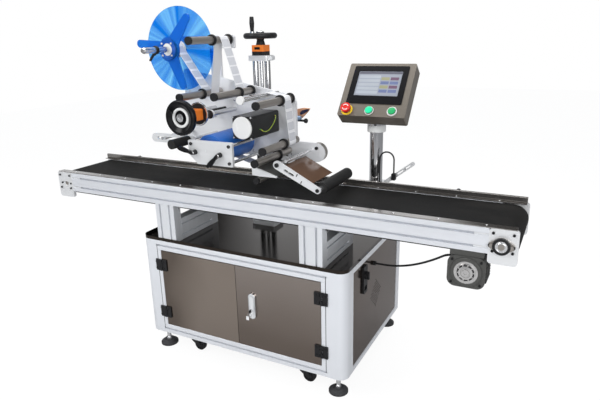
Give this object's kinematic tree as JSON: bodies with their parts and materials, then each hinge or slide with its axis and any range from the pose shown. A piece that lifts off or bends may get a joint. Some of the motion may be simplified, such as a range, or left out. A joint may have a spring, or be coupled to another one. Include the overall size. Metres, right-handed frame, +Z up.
{
  "type": "flat surface labelling machine",
  "caption": "Label applicator on a belt conveyor over a wheeled cabinet, with a column-mounted label head, unwinder, press roller and tilting screen.",
  "frame": {"origin": "on the floor, under the middle of the machine's overall box", "axes": "+X along the belt in the direction of travel, +Y away from the operator's side, +Z up"},
  "size_m": [2.0038, 0.75, 1.488],
  "materials": {
    "frame_white": "white-silver powder coat",
    "anodised": "clear anodised, satin",
    "stainless": "brushed",
    "chrome": "hard chromed, polished",
    "black_plastic": "moulded black",
    "black_metal": "black coat",
    "dark_grey": "dark grey coat",
    "foot_rubber": "grey black rubber",
    "belt_black": "black conveyor belt, fine matt weave",
    "foam_black": "black sleeve",
    "roller_grey": "satin tube",
    "blue_coat": "blue coat",
    "clear_blue": "clear blue sheet",
    "royal_blue": "blue moulding",
    "orange": "orange moulding",
    "screen_taupe": "taupe coat",
    "stop_red": "red moulding",
    "green": "green moulding",
    "web_white": "glassine backing paper with labels",
    "cord_black": "black sheath"
  },
  "bodies": {
    "machine_frame": {"corner_posts": "frame_white", "frame_rails": "frame_white", "top_tray": "stainless", "cabinet_panels": "stainless", "hinge_frame_leaves": "black_plastic", "levelling_feet": "foot_rubber", "conveyor_beams": "anodised", "slider_bed": "stainless", "end_plates": "anodised", "conveyor_belt": "belt_black", "edge_guides": "stainless", "support_posts": "anodised", "drive_motor": "dark_grey", "column_frame": "chrome", "screen_pole": "chrome", "sensor_bracket": "black_metal", "sensor_cord": "cord_black", "motor_cord": "cord_black"},
    "label_head": {"head_plate": "anodised", "head_frame": "anodised", "label_motor": "black_metal", "label_web": "web_white", "peel_plate": "dark_grey"},
    "unwinder": {"unwinder_disc": "clear_blue", "unwinder_flange": "royal_blue"},
    "left_door": {"left_door": "stainless"},
    "right_door": {"right_door": "stainless"},
    "lock_handle": {"lock_handle": "chrome"},
    "main_switch": {"main_switch": "black_plastic"},
    "drive_roller": {"drive_roller": "roller_grey"},
    "idler_roller": {"idler_roller": "roller_grey"},
    "top_handwheel": {"top_handwheel": "black_metal"},
    "top_handle": {"top_handle": "black_plastic"},
    "lift_carriage": {"lift_carriage": "anodised"},
    "front_handwheel": {"front_handwheel": "black_plastic"},
    "peel_roller": {"peel_roller": "roller_grey"},
    "black_roller": {"black_roller": "foam_black"},
    "traction_drum": {"traction_drum": "blue_coat"},
    "press_arms": {"press_arms": "anodised"},
    "press_roller": {"press_roller": "foam_black"},
    "clamp_lever_1": {"clamp_lever_1": "black_plastic"},
    "clamp_lever_2": {"clamp_lever_2": "black_plastic"},
    "screen_box": {"screen_box": "screen_taupe"},
    "stop_button": {"stop_button": "stop_red"},
    "start_button": {"start_button": "green"},
    "reset_button": {"reset_button": "green"},
    "caster_fork_1": {"caster_fork_1": "black_metal"},
    "caster_wheel_1": {"caster_wheel_1": "black_plastic"},
    "caster_fork_2": {"caster_fork_2": "black_metal"},
    "caster_wheel_2": {"caster_wheel_2": "black_plastic"},
    "caster_fork_3": {"caster_fork_3": "black_metal"},
    "caster_wheel_3": {"caster_wheel_3": "black_plastic"},
    "caster_fork_4": {"caster_fork_4": "black_metal"},
    "caster_wheel_4": {"caster_wheel_4": "black_plastic"},
    "guide_roller_1": {"guide_roller_1": "roller_grey"},
    "guide_roller_2": {"guide_roller_2": "roller_grey"},
    "guide_roller_3": {"guide_roller_3": "roller_grey"},
    "guide_roller_4": {"guide_roller_4": "roller_grey"},
    "guide_roller_5": {"guide_roller_5": "roller_grey"},
    "guide_roller_6": {"guide_roller_6": "roller_grey"}
  },
  "joints": [
    {"name": "left_door_hinge", "type": "hinge", "parent": "machine_frame", "child": "left_door", "pos_m": [-0.424, -0.314, 0.31], "axis": [0, 0, -1], "range_deg": [0, 110]},
    {"name": "right_door_hinge", "type": "hinge", "parent": "machine_frame", "child": "right_door", "pos_m": [0.338, -0.314, 0.31], "axis": [0, 0, 1], "range_deg": [0, 110]},
    {"name": "lock_handle_swing", "type": "hinge", "parent": "right_door", "child": "lock_handle", "pos_m": [0.033, -0.3144, 0.2995], "axis": [1, 0, 0], "range_deg": [0, 35]},
    {"name": "main_switch_turn", "type": "hinge", "parent": "machine_frame", "child": "main_switch", "pos_m": [0.442, -0.116, 0.455], "axis": [1, 0, 0], "range_deg": [0, 90]},
    {"name": "caster_swivel_1", "type": "hinge", "parent": "machine_frame", "child": "caster_fork_1", "pos_m": [-0.318, -0.255, 0.075], "axis": [0, 0, 1], "continuous": true},
    {"name": "caster_roll_1", "type": "hinge", "parent": "caster_fork_1", "child": "caster_wheel_1", "pos_m": [-0.292, -0.255, 0.035], "axis": [0, 1, 0], "continuous": true},
    {"name": "caster_swivel_2", "type": "hinge", "parent": "machine_frame", "child": "caster_fork_2", "pos_m": [0.232, -0.255, 0.075], "axis": [0, 0, 1], "continuous": true},
    {"name": "caster_roll_2", "type": "hinge", "parent": "caster_fork_2", "child": "caster_wheel_2", "pos_m": [0.258, -0.255, 0.035], "axis": [0, 1, 0], "continuous": true},
    {"name": "caster_swivel_3", "type": "hinge", "parent": "machine_frame", "child": "caster_fork_3", "pos_m": [-0.318, 0.325, 0.075], "axis": [0, 0, 1], "continuous": true},
    {"name": "caster_roll_3", "type": "hinge", "parent": "caster_fork_3", "child": "caster_wheel_3", "pos_m": [-0.292, 0.325, 0.035], "axis": [0, 1, 0], "continuous": true},
    {"name": "caster_swivel_4", "type": "hinge", "parent": "machine_frame", "child": "caster_fork_4", "pos_m": [0.232, 0.325, 0.075], "axis": [0, 0, 1], "continuous": true},
    {"name": "caster_roll_4", "type": "hinge", "parent": "caster_fork_4", "child": "caster_wheel_4", "pos_m": [0.258, 0.325, 0.035], "axis": [0, 1, 0], "continuous": true},
    {"name": "drive_roller_turn", "type": "hinge", "parent": "machine_frame", "child": "drive_roller", "pos_m": [0.952, -0.15, 0.733], "axis": [0, 1, 0], "continuous": true},
    {"name": "idler_roller_turn", "type": "hinge", "parent": "machine_frame", "child": "idler_roller", "pos_m": [-0.952, -0.15, 0.733], "axis": [0, 1, 0], "continuous": true},
    {"name": "top_handwheel_turn", "type": "hinge", "parent": "machine_frame", "child": "top_handwheel", "pos_m": [-0.111, 0.075, 1.36], "axis": [0, 0, 1], "range_deg": [-721, 1441]},
    {"name": "top_handle_turn", "type": "hinge", "parent": "top_handwheel", "child": "top_handle", "pos_m": [-0.1649, 0.099, 1.4], "axis": [0, 0, 1], "continuous": true},
    {"name": "lift_slide", "type": "slide", "parent": "machine_frame", "child": "lift_carriage", "axis": [0, 0, 1], "range_m": [-0.02, 0.04]},
    {"name": "front_handwheel_turn", "type": "hinge", "parent": "lift_carriage", "child": "front_handwheel", "pos_m": [-0.215, -0.34, 1.075], "axis": [0, 1, 0], "range_deg": [0, 1621]},
    {"name": "cross_slide", "type": "slide", "parent": "lift_carriage", "child": "label_head", "axis": [0, 1, 0], "range_m": [0, 0.045]},
    {"name": "guide_roller_turn_1", "type": "hinge", "parent": "label_head", "child": "guide_roller_1", "pos_m": [-0.167, -0.2, 1.352], "axis": [0, 1, 0], "continuous": true},
    {"name": "guide_roller_turn_2", "type": "hinge", "parent": "label_head", "child": "guide_roller_2", "pos_m": [-0.23, -0.2, 1.147], "axis": [0, 1, 0], "continuous": true},
    {"name": "guide_roller_turn_3", "type": "hinge", "parent": "label_head", "child": "guide_roller_3", "pos_m": [-0.071, -0.2, 1.154], "axis": [0, 1, 0], "continuous": true},
    {"name": "guide_roller_turn_4", "type": "hinge", "parent": "label_head", "child": "guide_roller_4", "pos_m": [0.105, -0.2, 1.128], "axis": [0, 1, 0], "continuous": true},
    {"name": "guide_roller_turn_5", "type": "hinge", "parent": "label_head", "child": "guide_roller_5", "pos_m": [0.124, -0.2, 0.966], "axis": [0, 1, 0], "continuous": true},
    {"name": "guide_roller_turn_6", "type": "hinge", "parent": "label_head", "child": "guide_roller_6", "pos_m": [0.089, -0.2, 0.919], "axis": [0, 1, 0], "continuous": true},
    {"name": "peel_roller_turn", "type": "hinge", "parent": "label_head", "child": "peel_roller", "pos_m": [0.082, -0.19, 0.85], "axis": [0, 1, 0], "continuous": true},
    {"name": "black_roller_turn", "type": "hinge", "parent": "label_head", "child": "black_roller", "pos_m": [-0.265, -0.31, 0.971], "axis": [0, 1, 0], "continuous": true},
    {"name": "traction_drum_turn", "type": "hinge", "parent": "label_head", "child": "traction_drum", "pos_m": [-0.118, -0.2, 0.952], "axis": [0, 1, 0], "continuous": true},
    {"name": "unwinder_turn", "type": "hinge", "parent": "label_head", "child": "unwinder", "pos_m": [-0.404, -0.13, 1.318], "axis": [0, 1, 0], "continuous": true},
    {"name": "press_arm_swing", "type": "hinge", "parent": "label_head", "child": "press_arms", "pos_m": [0.157, -0.15, 0.911], "axis": [0, -1, 0], "range_deg": [0, 14]},
    {"name": "press_roller_turn", "type": "hinge", "parent": "press_arms", "child": "press_roller", "pos_m": [0.319, -0.145, 0.832], "axis": [0, 1, 0], "continuous": true},
    {"name": "clamp_lever_turn_1", "type": "hinge", "parent": "label_head", "child": "clamp_lever_1", "pos_m": [-0.171, -0.35, 0.945], "axis": [0, 1, 0], "range_deg": [-40, 40]},
    {"name": "clamp_lever_turn_2", "type": "hinge", "parent": "label_head", "child": "clamp_lever_2", "pos_m": [-0.057, -0.35, 0.942], "axis": [0, 1, 0], "range_deg": [-40, 40]},
    {"name": "screen_tilt", "type": "hinge", "parent": "machine_frame", "child": "screen_box", "pos_m": [0.417, 0.05, 1.075], "axis": [1, 0, 0], "range_deg": [-15, 15]},
    {"name": "stop_button_press", "type": "slide", "parent": "screen_box", "child": "stop_button", "axis": [0, 0.7815, -0.6239], "range_m": [0, 0.005], "stiffness_N_per_m": 600},
    {"name": "start_button_press", "type": "slide", "parent": "screen_box", "child": "start_button", "axis": [0, 0.7815, -0.6239], "range_m": [0, 0.003], "stiffness_N_per_m": 500},
    {"name": "reset_button_press", "type": "slide", "parent": "screen_box", "child": "reset_button", "axis": [0, 0.7815, -0.6239], "range_m": [0, 0.003], "stiffness_N_per_m": 500}
  ],
  "couplings": [
    {"joint": "idler_roller_turn", "follows": "drive_roller_turn", "ratio": 1},
    {"joint": "top_handwheel_turn", "follows": "lift_slide", "rad_per_m": 628.32},
    {"joint": "front_handwheel_turn", "follows": "cross_slide", "rad_per_m": 628.32}
  ]
}
